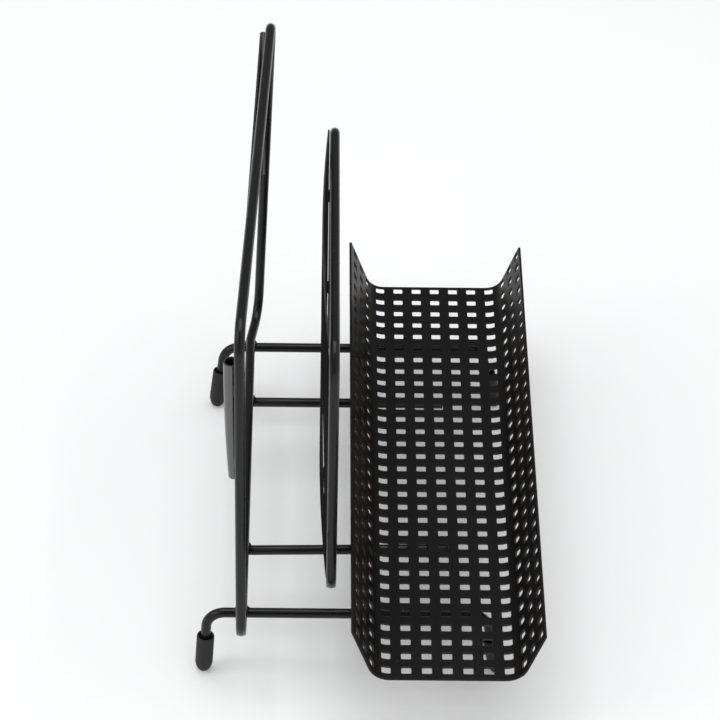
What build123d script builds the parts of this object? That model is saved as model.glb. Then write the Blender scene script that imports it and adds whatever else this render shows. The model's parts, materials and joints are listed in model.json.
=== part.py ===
"""Wire letter rack with a perforated pen tray, in millimetres.

+Z is up and the desk is at Z = 0. The tray faces -Y, and the rack's length lies along X.
The origin is under the middle of the rack's box.
"""

import os
from math import atan2, cos, radians, sin, tan

from build123d import *

# Wire and sheet
wire_diameter = 3.8
sheet_thickness = 0.7
weld_gap = 0.2

# Pen tray, one sheet bent to a wide open channel
tray_length = 247.6
tray_floor_width = 56.2
tray_back_depth = 24.6
tray_front_depth = 22.8
tray_floor_height = 33.0
tray_wall_lean = 20.0
tray_bend_radius = 8.0
hole_pitch = 8.0
hole_side = 4.0
floor_columns = 7
wall_columns = 3
hole_pattern_shift = 1.0

# Wires that run from front to back under the tray and the loops.
# A leg's reach is from the tray's middle to its bend, and its splay from there to its foot.
base_wire_spacing = 168.0
cross_wire_spacing = 93.4
cross_wire_front_reach = 2.0
leg_bend_radius = 7.5
left_front_leg_reach = 16.1
left_front_leg_splay = 5.9
left_back_leg_reach = 93.8
left_back_leg_splay = 1.8
right_front_leg_reach = 19.5
right_front_leg_splay = 7.2
right_back_leg_reach = 91.2
right_back_leg_splay = 3.6
right_back_leg_lean = 2.0

# Upright loops, measured along the middle of the wire, and placed behind the tray's middle
back_loop_reach = 80.0
back_loop_length = 210.0
back_loop_height = 151.0
back_loop_lean = 8.6
back_loop_foot_set = 3.0
front_loop_reach = 45.1
front_loop_length = 154.0
front_loop_height = 119.0
loop_bend_radius = 10.0

# Sheet panels behind the loops: an open arch at the back, and a sheet with a band of lozenges in front.
# A panel's step is how far its front face is behind the middle of the wire.
back_panel_height = 71.0
back_panel_right_reach = 97.0
back_panel_left_step = 0.2
back_panel_right_step = 3.7
arch_band_height = 24.0
arch_side_width = 10.0
arch_round = 6.0
flange_fold_radius = 0.4
front_panel_left_step = 1.1
front_panel_bow = 2.6
lozenge_band_rise = 45.0
lozenge_count = 3
lozenge_width = 36.0
lozenge_height = 48.0
lozenge_strap = 5.0

# Open roll at the left end of the back panel, narrower at its foot
roll_height = 57.0
roll_drop = 13.6
roll_top_radius = 3.0
roll_foot_radius = 2.3
roll_turn = 220.0

# Rubber foot caps
cap_diameter = 7.0
cap_length = 18.0
cap_tip_height = 4.7
cap_tip_flat = 2.6
cap_tip_swell = 0.9
cap_tip_wear = 0.35
cap_floor = 5.0
cap_mouth_diameter = 5.6
cap_mouth_depth = 2.6
cap_rim_bevel = 0.4
cap_clearance = 0.05

# Welds
loop_weld_radius = 2.5
loop_weld_height = 2.4
tray_weld_radius = 1.9
tack_radius = 1.0
tack_length = 5.0

# Places that follow from the sizes above
hole_rows = int((tray_length - hole_side) // hole_pitch) + 1
wire_radius = wire_diameter / 2
wire_step = wire_diameter + weld_gap
lean = radians(tray_wall_lean)
turn = radians(90 - tray_wall_lean)
rod_z = tray_floor_height - sheet_thickness - weld_gap - wire_radius
run_z = rod_z + wire_step
front_reach = tray_floor_width / 2 + tray_front_depth * tan(lean) + sheet_thickness * cos(lean)
back_tilt = atan2(left_back_leg_splay, rod_z)
back_foot_reach = left_back_leg_reach + left_back_leg_splay
back_reach = back_foot_reach - cap_tip_height * sin(back_tilt) + cap_diameter / 2 * cos(back_tilt)
tray_y = (front_reach - back_reach) / 2
back_loop_y = tray_y + back_loop_reach
front_loop_y = tray_y + front_loop_reach
panel_step = wire_radius + weld_gap

os.makedirs("parts", exist_ok=True)


def save(piece, name):
    """Label a finished piece and write it as the node of that name."""
    piece.label = name
    export_step(piece, f"parts/{name}.step")


def bent_wire(*routes, bend_radius):
    """A round wire along each route, of straight runs joined by bends."""
    with BuildPart() as wire:
        for points in routes:
            with BuildLine() as route:
                FilletPolyline(points, radius=bend_radius)
            with BuildSketch(Plane(origin=route.line @ 0, z_dir=route.line % 0)):
                Circle(wire_radius)
            sweep(path=route.line)
    return wire.part


def loop_wire(length, height, y, right_lean=0.0, right_set=0.0):
    """An upright loop, from two halves that meet end to end.

    Its right side may be set forward at the foot, past the last wire under it, and lean forward to the top.
    """
    half = length / 2
    top_z = run_z + height
    bottom_middle = (0, y, run_z)
    top_middle = (0, y - right_lean / 2, top_z)
    left_half = [bottom_middle, (-half, y, run_z), (-half, y, top_z), top_middle]
    right_half = [bottom_middle, (half, y - right_set, run_z), (half, y - right_lean, top_z), top_middle]
    if right_set:
        right_half.insert(1, (min(base_wire_spacing / 2, half - 2 * loop_bend_radius), y, run_z))
    return bent_wire(left_half, right_half, bend_radius=loop_bend_radius)


def leg_axis(x, bend_reach, splay, lean_left=0.0):
    """From a foot on the desk up a splayed leg to its bend. The foot may also stand left of the bend."""
    bend_y = tray_y + bend_reach
    return Axis((x - lean_left, bend_y + splay, 0), (lean_left, -splay, rod_z))


def base_wire(x, front_leg, back_leg):
    """A front-to-back wire whose two ends are bent down into legs."""
    bends = [leg.position + leg.direction * (rod_z / leg.direction.Z) for leg in (front_leg, back_leg)]
    ends = [leg.position + leg.direction * cap_floor for leg in (front_leg, back_leg)]
    return bent_wire([ends[0], bends[0], bends[1], ends[1]], bend_radius=leg_bend_radius)


def cross_wire(x):
    """A short straight wire from the back loop to just past the tray's middle."""
    front_y = tray_y - cross_wire_front_reach
    with BuildPart() as wire:
        with BuildSketch(Plane(origin=(x, front_y, rod_z), z_dir=(0, 1, 0))):
            Circle(wire_radius)
        extrude(amount=back_loop_y + wire_radius - front_y)
    return wire.part


def foot_cap(leg):
    """A bullet-shaped cap with a bore for the leg and an open mouth, its tip worn flat on the desk."""
    outer = cap_diameter / 2
    bore = wire_radius + cap_clearance
    tip = cap_tip_flat / 2
    across = Vector(leg.direction.Z, 0, -leg.direction.X)
    section = Plane(origin=leg.position, x_dir=across, z_dir=across.cross(leg.direction))
    below = (Align.CENTER, Align.CENTER, Align.MAX)
    with BuildPart() as cap:
        with BuildSketch(section):
            with BuildLine():
                Polyline(
                    (0, -cap_tip_wear),
                    (tip, -cap_tip_wear),
                    ((tip + outer) / 2 + cap_tip_swell / 2, cap_tip_height / 2 - cap_tip_swell / 2),
                    (outer, cap_tip_height),
                    (outer, cap_length - cap_rim_bevel),
                    (outer - cap_rim_bevel, cap_length),
                    (cap_mouth_diameter / 2, cap_length),
                    (bore, cap_length - cap_mouth_depth),
                    (bore, cap_floor),
                    (0, cap_floor),
                    close=True,
                )
            make_face()
        revolve(axis=leg)
        with Locations(leg.position):
            Box(cap_diameter, cap_diameter, cap_length, align=below, mode=Mode.SUBTRACT)
    return cap.part


def lozenge_band():
    """A row of lozenges with triangles between them, parted by straps."""
    half_x = lozenge_width / 2 - lozenge_strap / 2
    half_z = half_x * lozenge_height / lozenge_width
    for extra in (0, 1):
        with GridLocations(lozenge_width, lozenge_height, lozenge_count + extra, 1 + extra):
            Polygon((-half_x, 0), (0, -half_z), (half_x, 0), (0, half_z), align=None)
    Rectangle(lozenge_count * lozenge_width, lozenge_height, mode=Mode.INTERSECT)


# Pen tray: the bent section, then the square holes of the flat sheet
half_floor = tray_floor_width / 2
tray_end = Plane(origin=(-tray_length / 2, tray_y, tray_floor_height), x_dir=(0, 1, 0), z_dir=(1, 0, 0))
with BuildPart() as pen_tray:
    with BuildSketch(tray_end):
        with BuildLine():
            FilletPolyline(
                (-half_floor - tray_front_depth * tan(lean), tray_front_depth),
                (-half_floor, 0),
                (half_floor, 0),
                (half_floor + tray_back_depth * tan(lean), tray_back_depth),
                radius=tray_bend_radius,
            )
            offset(amount=sheet_thickness, side=Side.RIGHT)
        make_face()
    extrude(amount=tray_length)

    hole_depth = 2 * sheet_thickness + tray_bend_radius * (1 - cos(turn / 2))
    with BuildSketch(Plane.XY.offset(tray_floor_height - hole_depth)):
        with Locations((hole_pattern_shift, tray_y)):
            with GridLocations(hole_pitch, hole_pitch, hole_rows, floor_columns):
                Rectangle(hole_side, hole_side)
    extrude(amount=2 * hole_depth, mode=Mode.SUBTRACT)

    floor_flat = half_floor - tray_bend_radius * tan(turn / 2)
    bend_length = (tray_bend_radius + sheet_thickness / 2) * turn
    wall_start_y = floor_flat + tray_bend_radius * sin(turn)
    wall_start_z = tray_floor_height + tray_bend_radius * (1 - cos(turn))
    first_wall_hole = (floor_columns + 1) / 2 * hole_pitch - floor_flat - bend_length
    middle_wall_hole = first_wall_hole + (wall_columns - 1) / 2 * hole_pitch
    for side in (-1, 1):
        middle = (
            hole_pattern_shift,
            tray_y + side * (wall_start_y + middle_wall_hole * sin(lean)),
            wall_start_z + middle_wall_hole * cos(lean),
        )
        wall = Plane(origin=middle, x_dir=(1, 0, 0), z_dir=(0, side * cos(lean), -sin(lean)))
        with BuildSketch(wall.offset(-hole_depth)):
            with GridLocations(hole_pitch, hole_pitch, hole_rows, wall_columns):
                Rectangle(hole_side, hole_side)
        extrude(amount=2 * hole_depth, mode=Mode.SUBTRACT)
save(pen_tray.part, "pen_tray")

# Wires
sides = {"left": -1, "right": 1}
base_left = -base_wire_spacing / 2
base_right = base_wire_spacing / 2
legs = {
    "front_left": leg_axis(base_left, -left_front_leg_reach, -left_front_leg_splay),
    "back_left": leg_axis(base_left, left_back_leg_reach, left_back_leg_splay),
    "front_right": leg_axis(base_right, -right_front_leg_reach, -right_front_leg_splay),
    "back_right": leg_axis(base_right, right_back_leg_reach, right_back_leg_splay, right_back_leg_lean),
}
base_wires = {
    "left": base_wire(base_left, legs["front_left"], legs["back_left"]),
    "right": base_wire(base_right, legs["front_right"], legs["back_right"]),
}
cross_wires = {name: cross_wire(side * cross_wire_spacing / 2) for name, side in sides.items()}
back_loop = loop_wire(back_loop_length, back_loop_height, back_loop_y, back_loop_lean, back_loop_foot_set)
front_loop = loop_wire(front_loop_length, front_loop_height, front_loop_y)
for name in sides:
    save(base_wires[name], f"base_wire_{name}")
    save(cross_wires[name], f"cross_wire_{name}")
save(back_loop, "back_loop")
save(front_loop, "front_loop")

# Foot caps
for name, leg in legs.items():
    save(foot_cap(leg), f"foot_cap_{name}")

# Back panel: an arch-shaped sheet under the loop's top run, swung less than that run. Its right end is bent
# forward to the run, and its left end is rolled back beside the loop.
back_top_z = run_z + back_loop_height
back_panel_z = back_top_z - panel_step - back_panel_height
half_back = back_loop_length / 2
panel_left = half_back - panel_step - roll_top_radius
step_gain = (back_panel_right_step - back_panel_left_step) / back_loop_length
back_panel_swing = back_loop_lean - step_gain * back_loop_length
swing = atan2(back_panel_swing, back_loop_length)
panel_x = Vector(cos(swing), -sin(swing), 0)
panel_normal = Vector(sin(swing), cos(swing), 0)
panel_middle = Vector(0, back_loop_y - back_panel_swing / 2 + back_panel_left_step, back_panel_z)
panel_plane = Plane(origin=panel_middle, x_dir=panel_x)
flange_x = back_panel_right_reach + sheet_thickness
flange_step = back_panel_left_step + step_gain * (flange_x + half_back)
flange_length = flange_step - flange_fold_radius - panel_step
roll_z = back_panel_height - roll_drop - roll_height
with BuildPart() as roll:
    for z, radius in ((roll_z, roll_foot_radius), (roll_z + roll_height, roll_top_radius)):
        with BuildSketch(panel_plane.offset(z)):
            with BuildLine():
                JernArc((-panel_left, 0), (-1, 0), radius, -roll_turn)
                offset(amount=sheet_thickness, side=Side.RIGHT)
            make_face()
    loft()

with BuildPart() as back_panel:
    with BuildSketch(panel_plane):
        with BuildLine():
            flat = Line((-panel_left, 0), (back_panel_right_reach, 0))
            bend = JernArc(flat @ 1, flat % 1, flange_fold_radius, -90)
            Line(bend @ 1, bend @ 1 - Vector(0, flange_length))
            offset(amount=sheet_thickness, side=Side.LEFT)
        make_face()
    extrude(amount=back_panel_height)
    across_sheet = back_panel.edges().filter_by(Axis((0, 0, 0), panel_normal))
    left_corners = across_sheet.sort_by(Axis((0, 0, 0), panel_x))[:2]
    fillet(left_corners.sort_by(Axis.Z)[-1], radius=loop_bend_radius - panel_step)
    arch_width = panel_left + back_panel_right_reach - 2 * arch_side_width
    arch_foot = panel_plane.from_local_coords(((back_panel_right_reach - panel_left) / 2, 0, 0))
    with BuildSketch(Plane(origin=arch_foot, x_dir=panel_x, z_dir=-panel_normal)) as arch:
        Rectangle(arch_width, 2 * (back_panel_height - arch_band_height))
        fillet(arch.vertices(), radius=arch_round)
    extrude(amount=-2 * sheet_thickness, mode=Mode.SUBTRACT)
    add(roll.part)
save(back_panel.part, "back_panel")

# Front panel: a sheet as large as its loop, bowed to the rear, its left end tucked in beside the loop
half_front = front_loop_length / 2
front_panel_half = half_front - wire_radius
front_panel_height = front_loop_height - 2 * panel_step
front_left_y = front_loop_y + front_panel_left_step
front_right_y = front_loop_y + panel_step
with BuildPart() as front_panel:
    with BuildSketch(Plane.XY.offset(run_z + panel_step)):
        with BuildLine():
            ThreePointArc(
                (-front_panel_half, front_left_y),
                (0, (front_left_y + front_right_y) / 2 + front_panel_bow),
                (front_panel_half, front_right_y),
            )
            offset(amount=sheet_thickness, side=Side.LEFT)
        make_face()
    extrude(amount=front_panel_height)
    panel_through = -2 * (front_panel_bow + panel_step + sheet_thickness)
    loop_middle = (0, front_loop_y, run_z + front_loop_height / 2)
    outline_plane = Plane(origin=loop_middle, x_dir=(1, 0, 0), z_dir=(0, -1, 0))
    with BuildSketch(outline_plane) as front_outline:
        Rectangle(2 * front_panel_half, front_panel_height)
        fillet(front_outline.vertices().sort_by(Axis.X)[:2], radius=loop_bend_radius - wire_radius)
    extrude(amount=panel_through, mode=Mode.INTERSECT)
    band_middle = (0, front_loop_y, run_z + lozenge_band_rise)
    with BuildSketch(Plane(origin=band_middle, x_dir=(1, 0, 0), z_dir=(0, -1, 0))):
        lozenge_band()
    extrude(amount=panel_through, mode=Mode.SUBTRACT)
save(front_panel.part, "front_panel")

# Welds where the loops cross the wires under them
crossing_z = rod_z + wire_step / 2
loop_rods = [*base_wires.values(), *cross_wires.values()]
base_xs = [side * base_wire_spacing / 2 for side in sides.values()]
cross_xs = [side * cross_wire_spacing / 2 for side in sides.values()]
for name, loop, y, crossings in (
    ("back_loop_welds", back_loop, back_loop_y, base_xs + cross_xs),
    ("front_loop_welds", front_loop, front_loop_y, cross_xs),
):
    with BuildPart() as beads:
        with Locations(*[(x, y, crossing_z) for x in crossings]):
            Cylinder(loop_weld_radius, loop_weld_height)
        add([loop, *loop_rods], mode=Mode.SUBTRACT)
    save(beads.part, name)

# Welds between the tray's floor and the wires under it, clear of the holes
floor_under_z = tray_floor_height - sheet_thickness
bar_y = (floor_columns - 1) / 2 * hole_pitch - hole_pitch / 2
tray_points = [(x, tray_y + bar_y, floor_under_z) for x in base_xs + cross_xs]
tray_points += [(x, tray_y - hole_pitch / 2, floor_under_z) for x in base_xs]
with BuildPart() as tray_welds:
    with Locations(*tray_points):
        Cylinder(tray_weld_radius, tray_weld_radius, align=(Align.CENTER, Align.CENTER, Align.MAX))
    add(loop_rods, mode=Mode.SUBTRACT)
save(tray_welds.part, "tray_welds")

# Tacks between the panels' edges and their loops: along the loops' sides, and under the back loop's top run
tack_heights = [run_z + front_loop_height * share for share in (0.3, 0.7)]
front_points = [(-front_panel_half, front_left_y - weld_gap, z) for z in tack_heights]
front_points += [(front_panel_half + weld_gap, front_right_y, z) for z in tack_heights]
limb_middle = Vector(-half_back, back_loop_y)
roll_middle = Vector(-panel_left, back_loop_y + back_panel_left_step + roll_top_radius)
limb_tack = limb_middle + (roll_middle - limb_middle) * 0.4
roll_middle_z = back_panel_z + roll_z + roll_height / 2
back_points = [(limb_tack.X, limb_tack.Y, roll_middle_z + roll_height * share) for share in (-0.3, 0.3)]
under_run = []
for x in (-0.8 * half_back, -0.65 * half_back):
    top_run_y = back_loop_y - back_loop_lean * (x + half_back) / back_loop_length
    under_run.append((x, top_run_y + wire_radius / 2, back_top_z - panel_step))
for name, loop, panel, upright, level in (
    ("front_panel_tacks", front_loop, front_panel.part, front_points, []),
    ("back_panel_tacks", back_loop, back_panel.part, back_points, under_run),
):
    with BuildPart() as tacks:
        with Locations(*upright):
            Cylinder(tack_radius, tack_length)
        if level:
            with Locations(*level):
                Cylinder(tack_radius, tack_length, rotation=(0, 90, 0))
        add([loop, panel], mode=Mode.SUBTRACT)
    save(tacks.part, name)
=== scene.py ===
"""Looks of the wire letter rack with its perforated pen tray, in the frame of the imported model."""

import json
from math import atan2, ceil, cos, pi, radians, sin, sqrt, tan

import bmesh
import bpy
from mathutils import Matrix, Vector, noise


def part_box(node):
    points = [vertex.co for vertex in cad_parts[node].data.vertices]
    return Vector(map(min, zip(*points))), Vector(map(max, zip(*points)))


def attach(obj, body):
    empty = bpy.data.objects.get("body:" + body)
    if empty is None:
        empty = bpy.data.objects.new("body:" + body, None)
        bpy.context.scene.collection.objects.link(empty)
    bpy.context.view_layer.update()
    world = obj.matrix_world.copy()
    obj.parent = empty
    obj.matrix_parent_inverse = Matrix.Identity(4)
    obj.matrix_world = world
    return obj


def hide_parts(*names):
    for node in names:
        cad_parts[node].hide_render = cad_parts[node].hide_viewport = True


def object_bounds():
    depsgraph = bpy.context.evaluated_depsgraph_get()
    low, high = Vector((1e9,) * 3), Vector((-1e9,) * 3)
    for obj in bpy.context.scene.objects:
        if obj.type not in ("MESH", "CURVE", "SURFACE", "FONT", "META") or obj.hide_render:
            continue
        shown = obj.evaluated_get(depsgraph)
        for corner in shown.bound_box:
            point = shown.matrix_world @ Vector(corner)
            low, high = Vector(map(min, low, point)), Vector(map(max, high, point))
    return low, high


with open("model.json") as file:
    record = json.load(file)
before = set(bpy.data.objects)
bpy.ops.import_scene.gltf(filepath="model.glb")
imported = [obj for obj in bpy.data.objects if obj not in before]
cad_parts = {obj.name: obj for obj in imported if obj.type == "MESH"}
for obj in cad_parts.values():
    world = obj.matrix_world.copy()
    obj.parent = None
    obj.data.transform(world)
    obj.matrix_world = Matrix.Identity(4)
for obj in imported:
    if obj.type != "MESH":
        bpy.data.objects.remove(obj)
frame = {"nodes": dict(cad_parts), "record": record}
cad_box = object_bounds()

MM = 0.001


def packed(node):
    """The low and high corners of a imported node, in millimetres."""
    return [Vector(corner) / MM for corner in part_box(node)]


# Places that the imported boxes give. All sizes of the rack are in millimetres.
paint = 0.1
rod_front_reach = 2.0
rod_low, rod_high = packed("cross_wire_left")
wire_radius = (rod_high.z - rod_low.z) / 2
rod_z = (rod_high.z + rod_low.z) / 2
cross_x = (rod_high.x + rod_low.x) / 2
tray_y = rod_low.y + rod_front_reach
back_low, back_high = packed("back_loop")
back_half = back_high.x - wire_radius
back_y = back_high.y - wire_radius
back_top_z = back_high.z - wire_radius - paint
run_z = back_low.z + wire_radius
front_high = packed("front_loop")[1]
front_half = front_high.x - wire_radius
front_y = front_high.y - wire_radius
front_top_z = front_high.z - wire_radius
base_low, base_high = packed("base_wire_left")
base_x = (base_high.x + base_low.x) / 2
tray_low, tray_high = packed("pen_tray")

# Wire bends. The left cross wire lies askew, with its front and back ends this far along X.
loop_bend = 10.0
leg_bend = 7.5
back_lean = 8.6
back_foot_set = 3.0
rod_skew = {"left": (1.4, -0.5), "right": (0.0, 0.0)}

# Welds: beads where the loops lie on the wires, and small ones at the joint in a loop's lower left bend
weld_height = 1.5
tall_weld_reach = 3.3
low_weld_reach = 3.1
joint_bead = 1.0
joint_beads = ((0.5, -1.0, 1.0), (-0.5, 0.1, 1.2), (0.3, 1.1, 0.9))

# Legs: X, the bend's and the foot's reach along Y from the tray's middle, and the foot's way to the left
legs = {
    "front_left": (base_x, -16.1, -22.0, 0.0),
    "back_left": (base_x, 93.8, 95.6, 0.0),
    "front_right": (-base_x, -19.5, -26.7, 0.0),
    "back_right": (-base_x, 91.2, 94.8, 2.0),
}
cap_floor = 5.0
cap_length = 18.0
cap_radius = 3.5
cap_tip = 5.0
cap_apex = -0.75
cap_worn = -0.35

# Back panel: an arch-shaped sheet behind the tall loop, rolled up at its left end and folded at its right
panel_low, panel_high = packed("back_panel")
panel_height = panel_high.z - panel_low.z
panel_twist = 5.1
panel_gap = 0.2
panel_swing = atan2(panel_twist, 2 * back_half)
panel_left = -99.9
panel_right = 97.0
panel_corner = 7.9
arch_side = 10.0
arch_band = 24.0
arch_round = 6.0
flange_fold = 0.4
flange_length = 1.08
roll_low = 2.7
roll_high = 57.4
roll_turn = radians(325)
roll_radius = 3.0
roll_taper = 0.8

# Pen tray
sheet = 0.7
tray_paint = 0.3
soft_edge = 0.06
tray_floor_z = tray_low.z + sheet
tray_back_depth = 24.6
tray_front_depth = 22.8
tray_bend = 8.0
tray_floor_flat = 22.498
wall_turn = radians(70)
hole_pitch = 8.0
hole_half = 2.0
hole_corner = 0.5
hole_shift = 1.0
hole_rows = 31
hole_columns = 13


class Tone:
    """A shader value that Python sums can use. A sum adds a Math node."""

    def __init__(self, tree, socket):
        self.tree = tree
        self.socket = socket

    def math(self, operation, first, second):
        node = self.tree.nodes.new("ShaderNodeMath")
        node.operation = operation
        for socket, value in zip(node.inputs, (first, second)):
            feed(self.tree, socket, value)
        return Tone(self.tree, node.outputs[0])

    def __add__(self, other):
        return self.math("ADD", self, other)

    def __radd__(self, other):
        return self.math("ADD", other, self)

    def __mul__(self, other):
        return self.math("MULTIPLY", self, other)

    def __rmul__(self, other):
        return self.math("MULTIPLY", other, self)


def feed(tree, socket, value):
    """Link a tone to a socket, or set the socket to a plain value."""
    if isinstance(value, Tone):
        tree.links.new(value.socket, socket)
    else:
        socket.default_value = value


class Finish:
    """A node tree in the making: a material's, or the world's."""

    def __init__(self, owner, output):
        owner.use_nodes = True
        self.owner = owner
        self.tree = owner.node_tree
        self.tree.nodes.clear()
        self.out = self.tree.nodes.new(output)

    def node(self, kind, settings=None, sockets=None, output=0):
        """Any node: its settings first, then its sockets. A ramp's stops are pairs of place and shade."""
        node = self.tree.nodes.new(kind)
        for name, value in (settings or {}).items():
            if name == "stops":
                while len(node.color_ramp.elements) < len(value):
                    node.color_ramp.elements.new(1.0)
                for stop, (place, shade) in zip(node.color_ramp.elements, value):
                    stop.position = place
                    stop.color = shade if isinstance(shade, tuple) else (shade, shade, shade, 1.0)
            else:
                setattr(node, name, value)
        for name, value in (sockets or {}).items():
            feed(self.tree, node.inputs[name], value)
        return Tone(self.tree, node.outputs[output])

    def place(self):
        """Where a point is on the object, in metres."""
        return self.node("ShaderNodeTexCoord", output="Object")

    def noise(self, place, scale, detail=2.0, roughness=0.5):
        sockets = {"Vector": place, "Scale": scale, "Detail": detail, "Roughness": roughness}
        return self.node("ShaderNodeTexNoise", None, sockets, "Fac")

    def ramp(self, tone, *stops):
        return self.node("ShaderNodeValToRGB", {"stops": stops}, {"Fac": tone})

    def mix(self, share, first, second):
        """One colour into another, by a share from 0 to 1."""
        sockets = {0: share, 6: first, 7: second}
        return self.node("ShaderNodeMix", {"data_type": "RGBA"}, sockets, 2)

    def bump(self, height, distance, strength=1.0):
        sockets = {"Height": height, "Distance": distance, "Strength": strength}
        return self.node("ShaderNodeBump", None, sockets)

    def show(self, shader):
        feed(self.tree, self.out.inputs["Surface"], shader)
        return self.owner


def material(name):
    return Finish(bpy.data.materials.new(name), "ShaderNodeOutputMaterial")


def lacquer(name, grey, roughness, specular, specks, mottle=0.2, edges=False, bends=0.0):
    """Black lacquer on steel: orange peel, cloudy gloss, specks of dust, and brown wear here and there.

    Where a piece marks its cut edges, they are painted a lighter brown, a painted highlight that stands in
    for the light on the lit cut walls. On a panel, the bent parts are glossier than the matt flat faces,
    which look along Y.
    """
    finish = material(name)
    place = finish.place()
    cloud = finish.noise(place, 45.0, 3.0)
    peel = finish.noise(place, 1100.0, 2.0)
    grit = finish.noise(place, 4200.0, 1.0)
    dust = finish.ramp(finish.noise(place, 800.0, 1.0), (specks, 0.0), (specks + 0.02, 1.0))
    wear = finish.ramp(finish.noise(place, 110.0, 4.0, 0.6), (0.66, 0.0), (0.74, 1.0))
    dark = grey * (1 - mottle)
    light = grey * (1 + mottle)
    colour = finish.mix(cloud, (dark, dark, dark * 1.06, 1.0), (light, light, light, 1.0))
    colour = finish.mix(wear * 0.35, colour, (0.030, 0.018, 0.011, 1.0))
    # Painted highlight: the marked cut walls are painted a lighter brown, in place of the light that the
    # lit walls catch.
    if edges:
        cut = finish.node("ShaderNodeAttribute", {"attribute_name": "cut"}, None, "Fac")
        colour = finish.mix(cut * (0.4 + cloud * 0.5), colour, (0.070, 0.052, 0.040, 1.0))
    colour = finish.mix(dust * 0.4, colour, (0.18, 0.17, 0.16, 1.0))
    sockets = {
        "Base Color": colour,
        "Roughness": roughness + cloud * 0.10 + dust * 0.3 + wear * 0.15,
        "Specular IOR Level": specular,
        "Normal": finish.bump(peel * 0.8 + grit * 0.2, 0.012 * MM, 0.5),
    }
    if bends:
        facing = finish.node("ShaderNodeTexCoord", None, None, "Normal")
        sideways = finish.node("ShaderNodeSeparateXYZ", None, {"Vector": facing}, "Y")
        sockets["Coat Weight"] = finish.ramp(sideways * sideways, (0.95, bends), (0.985, 0.0))
        sockets["Coat Roughness"] = 0.12
        sockets["Coat IOR"] = 2.0
    return finish.show(finish.node("ShaderNodeBsdfPrincipled", None, sockets))


def rubber():
    """Matt black rubber with a fine grain and a bloom of dust."""
    finish = material("cap_rubber")
    place = finish.place()
    bloom = finish.noise(place, 160.0, 4.0)
    grain = finish.noise(place, 3800.0, 2.0)
    colour = finish.mix(bloom, (0.013, 0.013, 0.013, 1.0), (0.026, 0.026, 0.026, 1.0))
    shader = finish.node("ShaderNodeBsdfPrincipled", None, {
        "Base Color": colour,
        "Roughness": 0.55 + bloom * 0.2,
        "Specular IOR Level": 0.35,
        "Normal": finish.bump(grain, 0.03 * MM, 0.5),
    })
    return finish.show(shader)


def paper():
    """The white paper under the rack."""
    finish = material("paper_floor")
    fibre = finish.noise(finish.place(), 700.0, 3.0)
    rays = ("Is Camera Ray", "Is Glossy Ray", "Is Transmission Ray")
    seen = [finish.node("ShaderNodeLightPath", None, None, ray) for ray in rays]
    shader = finish.node("ShaderNodeBsdfPrincipled", None, {
        "Base Color": finish.mix(fibre, (0.86, 0.86, 0.86, 1.0), (0.88, 0.88, 0.88, 1.0)),
        "Roughness": 0.9,
        "Specular IOR Level": 0.0,
        "Emission Color": sum(seen) * 0.115,
        "Emission Strength": 1.0,
    })
    return finish.show(shader)


finishes = {
    "tray_lacquer": lacquer("tray_lacquer", 0.0075, 0.36, 0.12, 0.80, edges=True),
    "panel_lacquer": lacquer("panel_lacquer", 0.0170, 0.60, 0.0, 0.80, mottle=0.5, bends=1.0),
    "wire_lacquer": lacquer("wire_lacquer", 0.0085, 0.18, 0.28, 0.82),
    "weld_lacquer": lacquer("weld_lacquer", 0.0090, 0.30, 0.30, 0.82),
    "cap_rubber": rubber(),
}
for subpart in frame["record"]["subparts"]:
    node = frame["nodes"][subpart["node"]]
    node.data.materials.clear()
    node.data.materials.append(finishes[subpart["material_slot"]])


def take_place(made, slot, *nodes):
    """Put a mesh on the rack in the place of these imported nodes, with a slot's finish."""
    made.data.materials.append(finishes[slot])
    bpy.context.collection.objects.link(made)
    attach(made, "root")
    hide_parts(*nodes)


def piece(name, skins, slot, *nodes):
    """One mesh piece from skins of points and faces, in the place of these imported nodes."""
    shape = bmesh.new()
    for points, faces in skins:
        corners = [shape.verts.new(Vector(point) * MM) for point in points]
        for face in faces:
            shape.faces.new([corners[index] for index in face])
    bmesh.ops.recalc_face_normals(shape, faces=shape.faces)
    for face in shape.faces:
        face.smooth = True
    mesh = bpy.data.meshes.new(name)
    shape.to_mesh(mesh)
    shape.free()
    mesh.set_sharp_from_angle(angle=radians(50))
    take_place(bpy.data.objects.new(name, mesh), slot, *nodes)


def skin(rings, loop=False, first_cap=False, last_cap=False):
    """Quads between rings of equal counts, which may close into a loop or end in caps."""
    points = [point for ring in rings for point in ring]
    around = len(rings[0])
    faces = []
    for index in range(len(rings) if loop else len(rings) - 1):
        here = index * around
        there = (index + 1) % len(rings) * around
        for step in range(around):
            after = (step + 1) % around
            faces.append((here + step, here + after, there + after, there + step))
    if first_cap:
        faces.append(tuple(range(around)))
    if last_cap:
        faces.append(tuple(range(len(points) - around, len(points))))
    return points, faces


def rounded(corners, radius, loop=False):
    """The middle line of a bent wire: straight runs joined by round bends."""
    line = []
    for index, corner in enumerate(corners):
        if not loop and index in (0, len(corners) - 1):
            line.append(corner)
            continue
        before = (corners[index - 1] - corner).normalized()
        after = (corners[(index + 1) % len(corners)] - corner).normalized()
        turn = pi - before.angle(after)
        reach = radius * tan(turn / 2)
        middle = corner + (before + after).normalized() * (radius / cos(turn / 2))
        start = corner + before * reach - middle
        axis = start.cross(corner + after * reach - middle).normalized()
        steps = max(2, ceil(turn / radians(4)))
        for step in range(steps + 1):
            line.append(middle + Matrix.Rotation(turn * step / steps, 3, axis) @ start)
    return line


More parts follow.
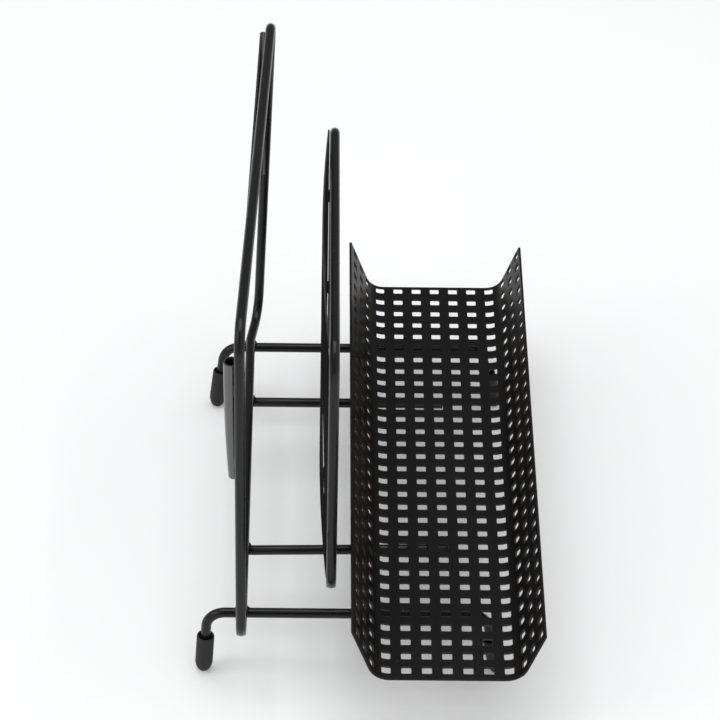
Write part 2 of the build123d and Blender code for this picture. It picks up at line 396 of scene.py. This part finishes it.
def wire(line, loop=False, around=32):
    """The skin of a round wire along a line. The ends of an open one are cut with softened rims."""
    full = wire_radius + paint
    stations = []
    for index, point in enumerate(line):
        before = line[index - 1] if loop or index else point
        after = line[(index + 1) % len(line)] if loop or index < len(line) - 1 else point
        stations.append((point, (after - before).normalized(), full))
    if not loop:
        rims = ((0.0, 0.80), (0.10, 0.94), (0.32, 1.0))
        first, heading, _ = stations[0]
        last, leaving, _ = stations[-1]
        stations[0:1] = [(first + heading * step, heading, full * share) for step, share in rims]
        stations[-1:] = [(last - leaving * step, leaving, full * share) for step, share in rims[::-1]]
    side = Vector((0.31, 0.52, 0.79))
    rings = []
    for point, heading, radius in stations:
        side = (side - heading * side.dot(heading)).normalized()
        other = heading.cross(side)
        angles = [2 * pi * step / around for step in range(around)]
        rings.append([point + (side * cos(angle) + other * sin(angle)) * radius for angle in angles])
    return skin(rings, loop, not loop, not loop)


def leg(name):
    """A leg's foot on the desk, and its way up to the bend."""
    x, bend_reach, foot_reach, left = legs[name]
    foot = Vector((x - left, tray_y + foot_reach, 0))
    return foot, Vector((x, tray_y + bend_reach, rod_z)) - foot


def wires():
    """The two loops, the two base wires with their legs, and the two cross wires."""
    back_loop = [
        Vector((-back_half, back_y, run_z)),
        Vector((-back_half, back_y, back_top_z)),
        Vector((back_half, back_y - back_lean, back_top_z)),
        Vector((back_half, back_y - back_foot_set, run_z)),
        Vector((-base_x, back_y, run_z)),
    ]
    front_loop = [
        Vector((-front_half, front_y, run_z)),
        Vector((-front_half, front_y, front_top_z)),
        Vector((front_half, front_y, front_top_z)),
        Vector((front_half, front_y, run_z)),
    ]
    onward = Vector((0.78, 0, -0.62))
    outward = Vector((-0.62, 0, -0.78))
    loops = (("tall_loop", "back_loop", back_loop), ("low_loop", "front_loop", front_loop))
    for name, node, corners in loops:
        skins = [wire(rounded(corners, loop_bend, True), True)]
        joint = corners[0] + Vector((loop_bend, 0, loop_bend)) + outward * loop_bend
        for seed, (along, across, out) in enumerate(joint_beads):
            place = joint + onward * along + Vector((0, across, 0)) + outward * out
            skins.append(bead(place, joint_bead, joint_bead, seed + len(name)))
        piece(name, skins, "wire_lacquer", node)
    for side, sign in (("left", 1), ("right", -1)):
        front_foot, front_rise = leg(f"front_{side}")
        back_foot, back_rise = leg(f"back_{side}")
        corners = [
            front_foot + front_rise.normalized() * cap_floor,
            front_foot + front_rise,
            back_foot + back_rise,
            back_foot + back_rise.normalized() * cap_floor,
        ]
        piece(f"leg_wire_{side}", [wire(rounded(corners, leg_bend))], "wire_lacquer", f"base_wire_{side}")
        reaches = zip(rod_skew[side], (rod_low.y, rod_high.y))
        ends = [Vector((cross_x * sign + skew, y, rod_z)) for skew, y in reaches]
        piece(f"short_wire_{side}", [wire(ends)], "wire_lacquer", f"cross_wire_{side}")


def caps():
    """Rubber caps pushed on the legs: a bullet tip, a straight body, a soft rim and a flared mouth."""
    profile = []
    for step in range(13):
        height = cap_worn + (cap_tip - cap_worn) * step / 12
        share = (height - cap_apex) / (cap_tip - cap_apex)
        profile.append((cap_radius * sqrt(1 - (1 - share) ** 2), height))
    rim = ((0, 0.55), (0.06, 0.26), (0.2, 0.08), (0.38, 0.0), (0.6, 0.06), (0.7, 0.22))
    profile += [(cap_radius - inset, cap_length - drop) for inset, drop in rim]
    profile += [(wire_radius + 0.2, cap_length - 2.5), (wire_radius + 0.1, cap_length - 3.2)]
    for name in legs:
        foot, rise = leg(name)
        up = rise.normalized()
        side = Vector((1, 0, 0)) - up * up.x
        side.normalize()
        other = up.cross(side)
        rings = []
        for radius, height in profile:
            ring = []
            for step in range(40):
                angle = 2 * pi * step / 40
                point = foot + up * height + (side * cos(angle) + other * sin(angle)) * radius
                point.z = max(point.z, 0.0)
                ring.append(point)
            rings.append(ring)
        piece(f"rubber_cap_{name}", [skin(rings, first_cap=True)], "cap_rubber", f"foot_cap_{name}")


def bead(middle, reach, height, seed):
    """A lumpy bead of weld metal, round in plan."""
    rings = []
    for level in range(1, 12):
        tilt = pi * level / 12
        ring = []
        for step in range(24):
            angle = 2 * pi * step / 24
            way = Vector((sin(tilt) * cos(angle), sin(tilt) * sin(angle), cos(tilt)))
            swell = 1 - 0.25 * (0.5 + 0.5 * noise.noise(way * 2.2 + Vector((seed * 7.3, seed, 0))))
            ring.append(middle + Vector((way.x * reach, way.y * reach, way.z * height)) * swell)
        rings.append(ring)
    return skin(rings, first_cap=True, last_cap=True)


def welds():
    """Beads where the loops lie on the wires."""
    level = (rod_z + run_z) / 2
    beads = []
    for seed, x in enumerate((base_x, cross_x, -cross_x, -base_x)):
        beads.append(bead(Vector((x, back_y, level)), tall_weld_reach, weld_height, seed))
    piece("tall_loop_welds", beads, "weld_lacquer", "back_loop_welds")
    beads = []
    for seed, x in enumerate((cross_x, -cross_x), 5):
        beads.append(bead(Vector((x, front_y, level)), low_weld_reach, weld_height, seed))
    piece("low_loop_welds", beads, "weld_lacquer", "front_loop_welds")


def back_panel():
    """The arch, the flange at its right end and the roll at its left end, in the sheet's own plane."""
    along = Vector((cos(panel_swing), -sin(panel_swing), 0))
    behind = Vector((sin(panel_swing), cos(panel_swing), 0))
    foot = Vector((0, back_y - panel_twist / 2 + panel_gap, panel_low.z))

    def place(x, y, z):
        return foot + along * x + behind * y + Vector((0, 0, z))

    def turn(x, z, radius, first, last, steps=8):
        angles = [first + (last - first) * step / steps for step in range(steps + 1)]
        return [(x + radius * cos(angle), z + radius * sin(angle)) for angle in angles]

    band = panel_height - arch_band
    outer = [(panel_left, 0), (panel_left, band - arch_round)]
    outer += turn(panel_left + panel_corner, panel_height - panel_corner, panel_corner, pi, pi / 2)
    outer += [(panel_right - step, panel_height) for step in (4.5, 3.0, 1.5, 0.0)]
    outer += [(panel_right, panel_height - step) for step in (3, 6, 9, 12, 15)]
    outer += [(panel_right, band - arch_round), (panel_right, 0)]
    inner = [(panel_left + arch_side, 0), (panel_left + arch_side, band - arch_round)]
    inner += turn(panel_left + arch_side + arch_round, band - arch_round, arch_round, pi, pi / 2)
    inner += turn(panel_right - arch_side - arch_round, band - arch_round, arch_round, pi / 2, 0)
    inner += [(panel_right - arch_side, band - arch_round - 0.1), (panel_right - arch_side, 0)]
    rings = []
    for (outer_x, outer_z), (inner_x, inner_z) in zip(outer, inner):
        outer_edge = [place(outer_x, y, outer_z) for y in (0, sheet)]
        rings.append(outer_edge + [place(inner_x, y, inner_z) for y in (sheet, 0)])
    arch = skin(rings, first_cap=True, last_cap=True)

    end = -flange_fold - flange_length
    inside = turn(panel_right, -flange_fold, flange_fold, pi / 2, 0)
    outside = turn(panel_right, -flange_fold, flange_fold + sheet, pi / 2, 0)
    profile = inside + [(inside[-1][0], end), (outside[-1][0], end)] + outside[::-1]
    rings = [[place(x, y, z) for x, y in profile] for z in (0, panel_height)]
    flange = skin(rings, first_cap=True, last_cap=True)

    rings = []
    for level in range(25):
        share = level / 24
        radius = roll_radius - roll_taper * (1 - share) ** 2.2
        profile = []
        for reach, angles in ((radius, range(49)), (radius - sheet, range(48, -1, -1))):
            for step in angles:
                angle = -pi / 2 - roll_turn * step / 48
                profile.append((panel_left + reach * cos(angle), radius + reach * sin(angle)))
        z = roll_low + (roll_high - roll_low) * share
        rings.append([place(x, y, z) for x, y in profile])
    roll = skin(rings, first_cap=True, last_cap=True)
    piece("arch_panel", [arch, flange, roll], "panel_lacquer", "back_panel")


def tray_point(across, along, depth):
    """A point of the bent sheet from its place on the flat sheet and its depth under the upper face.

    It comes with the upper face's normal and the direction across the sheet there.
    """
    side = 1 if across > 0 else -1
    past = max(0.0, abs(across) - tray_floor_flat)
    bend_length = (tray_bend + sheet / 2) * wall_turn
    angle = min(past, bend_length) / (tray_bend + sheet / 2)
    rest = max(0.0, past - bend_length)
    y = min(abs(across), tray_floor_flat) + tray_bend * sin(angle) + rest * cos(angle)
    z = tray_bend * (1 - cos(angle)) + rest * sin(angle)
    normal = Vector((0, -side * sin(angle), cos(angle)))
    heading = Vector((0, cos(angle), side * sin(angle)))
    point = Vector((along, tray_y + side * y, tray_floor_z + z)) - normal * depth
    return point, normal, heading


def hole_outline(half, corner):
    """A square with round corners: its points in order, with the directions into the hole."""
    outline = []
    for quarter in range(4):
        spin = Matrix.Rotation(quarter * pi / 2, 2)
        for angle in (0, pi / 4, pi / 2):
            way = Vector((cos(angle), sin(angle)))
            outline.append((spin @ (Vector((half - corner, half - corner)) + way * corner), spin @ -way))
        outline.append((spin @ Vector((0, half)), spin @ Vector((0, -1))))
    return outline


def cell_border(low, high):
    """Points on a cell's edges that face the points of its hole's outline, in the same order."""
    shares = [(1, 0.5), (1, 1), (0.5, 1), (0, 1), (-0.5, 1), (-1, 1), (-1, 0.5), (-1, 0)]
    shares += [(-1, -0.5), (-1, -1), (-0.5, -1), (0, -1), (0.5, -1), (1, -1), (1, -0.5), (1, 0)]
    middle = (low + high) / 2
    reach = (high - low) / 2
    return [middle + Vector((reach.x * x, reach.y * y)) for x, y in shares]


def pen_tray():
    """The tray's sheet: square holes with soft rims on the flat sheet, which is bent up at both sides."""
    wall_start = tray_floor_flat + (tray_bend + sheet / 2) * wall_turn
    bend_rise = tray_bend * (1 - cos(wall_turn))
    back_end = wall_start + (tray_back_depth - bend_rise) / sin(wall_turn)
    front_end = -wall_start - (tray_front_depth - bend_rise) / sin(wall_turn)
    points = []
    normals = []
    cut_highlight_shares = []
    faces = []
    known = {}

    def corner(flat, depth, tilt, way=None, cut=0.0):
        """The number of a sheet point, with a normal tilted from the upper face's to a way on the sheet."""
        key = (round(flat.x, 3), round(flat.y, 3), round(depth, 3))
        if key not in known:
            point, normal, heading = tray_point(flat.x, flat.y, depth)
            level = normal * cos(tilt)
            if way:
                level += (heading * way.x + Vector((1, 0, 0)) * way.y) * sin(tilt)
            known[key] = len(points)
            points.append(point * MM)
            normals.append(level.normalized())
            cut_highlight_shares.append(cut)
        return known[key]

    def band(first, second, closed=True):
        """Quads between two rows of corner numbers."""
        for index in range(len(first) if closed else len(first) - 1):
            after = (index + 1) % len(first)
            faces.append((first[index], first[after], second[after], second[index]))

    top = -tray_paint
    levels = ((top, 0.0), (top + soft_edge, pi / 2), (sheet - soft_edge, pi / 2), (sheet, pi))
    rim = hole_outline(hole_half, hole_corner)
    wall = hole_outline(hole_half - soft_edge, hole_corner - soft_edge)
    half_cell = Vector((hole_pitch, hole_pitch)) / 2
    for column in range(hole_columns):
        for row in range(hole_rows):
            across = (column - (hole_columns - 1) / 2) * hole_pitch
            along = hole_shift + (row - (hole_rows - 1) / 2) * hole_pitch
            middle = Vector((across, along))
            low = middle - half_cell
            high = middle + half_cell
            if column == 0:
                low.x = front_end + soft_edge
            if column == hole_columns - 1:
                high.x = back_end - soft_edge
            if row == 0:
                low.y = tray_low.x + soft_edge
            if row == hole_rows - 1:
                high.y = tray_high.x - soft_edge
            border = cell_border(low, high)
            rings = []
            for depth, tilt in levels:
                outline = wall if top < depth < sheet else rim
                # Painted highlight: the hole walls take the full share of the lighter brown that stands in
                # for light on the lit walls.
                cut = 1.0 if outline is wall else 0.0
                rings.append([corner(middle + point, depth, tilt, way, cut) for point, way in outline])
            for first, second in zip(rings, rings[1:]):
                band(first, second)
            for depth, tilt, ring in ((top, 0.0, rings[0]), (sheet, pi, rings[-1])):
                halfway = [(middle + point + edge) / 2 for (point, _), edge in zip(rim, border)]
                between = [corner(point, depth, tilt) for point in halfway]
                band(ring, between)
                band(between, [corner(point, depth, tilt) for point in border])
            edges = []
            if column == 0:
                edges.append((Vector((-1, 0)), [border[index] for index in range(5, 10)]))
            if column == hole_columns - 1:
                edges.append((Vector((1, 0)), [border[index] for index in (13, 14, 15, 0, 1)]))
            if row == 0:
                edges.append((Vector((0, -1)), [border[index] for index in range(9, 14)]))
            if row == hole_rows - 1:
                edges.append((Vector((0, 1)), [border[index] for index in range(1, 6)]))
            for way, edge in edges:
                rows = [[corner(point, top, 0.0) for point in edge]]
                outer = [point + way * soft_edge for point in edge]
                # The sheet's outer cut edges take a small share of that painted highlight.
                for depth in (top + soft_edge, sheet - soft_edge):
                    rows.append([corner(point, depth, pi / 2, way, 0.15) for point in outer])
                rows.append([corner(point, sheet, pi) for point in edge])
                for first, second in zip(rows, rows[1:]):
                    band(first, second, False)

    mesh = bpy.data.meshes.new("tray_sheet")
    mesh.from_pydata(points, [], faces)
    shape = bmesh.new()
    shape.from_mesh(mesh)
    bmesh.ops.recalc_face_normals(shape, faces=shape.faces)
    shape.to_mesh(mesh)
    shape.free()
    mesh.polygons.foreach_set("use_smooth", [True] * len(mesh.polygons))
    # Each point's share of the painted highlight, which the lacquer reads from the cut attribute.
    mesh.attributes.new("cut", "FLOAT", "POINT").data.foreach_set("value", cut_highlight_shares)
    mesh.normals_split_custom_set_from_vertices(normals)
    take_place(bpy.data.objects.new("tray_sheet", mesh), "tray_lacquer", "pen_tray")


def floor():
    """A wide sheet of paper, level with the caps' tips."""
    reach = 6.0
    mesh = bpy.data.meshes.new("floor")
    shape = bmesh.new()
    bmesh.ops.create_grid(shape, x_segments=1, y_segments=1, size=reach)
    shape.to_mesh(mesh)
    shape.free()
    mesh.materials.append(paper())
    made = bpy.data.objects.new("floor", mesh)
    bpy.context.collection.objects.link(made)
    made.location.z = cad_box[0][2] - 0.1 * MM


def soft_box(name, place, size, power, colour=(1.0, 1.0, 1.0), aim=(0.0, 0.0, 0.08), glossy=True):
    """A square soft lamp turned to the rack. One that isn't glossy leaves no reflection in the lacquer."""
    lamp = bpy.data.lights.new(name, "AREA")
    lamp.size = size
    lamp.energy = power
    lamp.color = colour
    box = bpy.data.objects.new(name, lamp)
    bpy.context.collection.objects.link(box)
    box.location = place
    box.visible_glossy = glossy
    box.rotation_euler = (Vector(aim) - Vector(place)).to_track_quat("-Z", "Y").to_euler()


def studio():
    """A white tent that is dim at both of the rack's ends, with soft lamps above, behind and near."""
    world = bpy.data.worlds.new("studio")
    tent = Finish(world, "ShaderNodeOutputWorld")
    way = tent.node("ShaderNodeTexCoord", output="Generated")
    right = tent.node("ShaderNodeSeparateXYZ", None, {"Vector": way}, "X")
    back = tent.node("ShaderNodeSeparateXYZ", None, {"Vector": way}, "Y")
    sides = tent.ramp(back * back, (0.03, 0.0), (0.16, 1.0))
    near = tent.ramp(right * 0.5 + 0.5, (0.72, 1.0), (0.85, 0.0))
    far = tent.ramp(right * 0.5 + 0.5, (0.80, 0.0), (0.88, 1.0))
    bright = 0.07 + sides * near * 0.62 + far * 0.20
    tent.show(tent.node("ShaderNodeBackground", None, {"Color": bright, "Strength": 1.0}))
    bpy.context.scene.world = world
    soft_box("top_light", (0.2, 0.0, 1.6), 1.3, 14.0, (0.97, 0.985, 1.0))
    soft_box("near_fill", (-1.3, -0.2, 1.2), 0.9, 6.0, glossy=False)
    soft_box("back_side_light", (-0.4, 1.1, 1.0), 0.7, 3.0)


def camera():
    """The photograph's view: from the rack's left end, from above."""
    lens = bpy.data.cameras.new("camera")
    lens.sensor_width = 36.0
    lens.lens = 173.84
    view = bpy.data.objects.new("camera", lens)
    bpy.context.collection.objects.link(view)
    heading = Matrix.Rotation(radians(-91.056), 4, "Z")
    tilt = Matrix.Rotation(radians(90 - 38.66), 4, "X")
    roll = Matrix.Rotation(radians(1.231), 4, "Z")
    place = Matrix.Translation((-1.09096, 0.02345, 0.96388))
    view.matrix_world = place @ heading @ tilt @ roll
    bpy.context.scene.camera = view


wires()
caps()
welds()
back_panel()
pen_tray()
floor()
studio()
camera()
bpy.context.scene.view_settings.view_transform = "Standard"
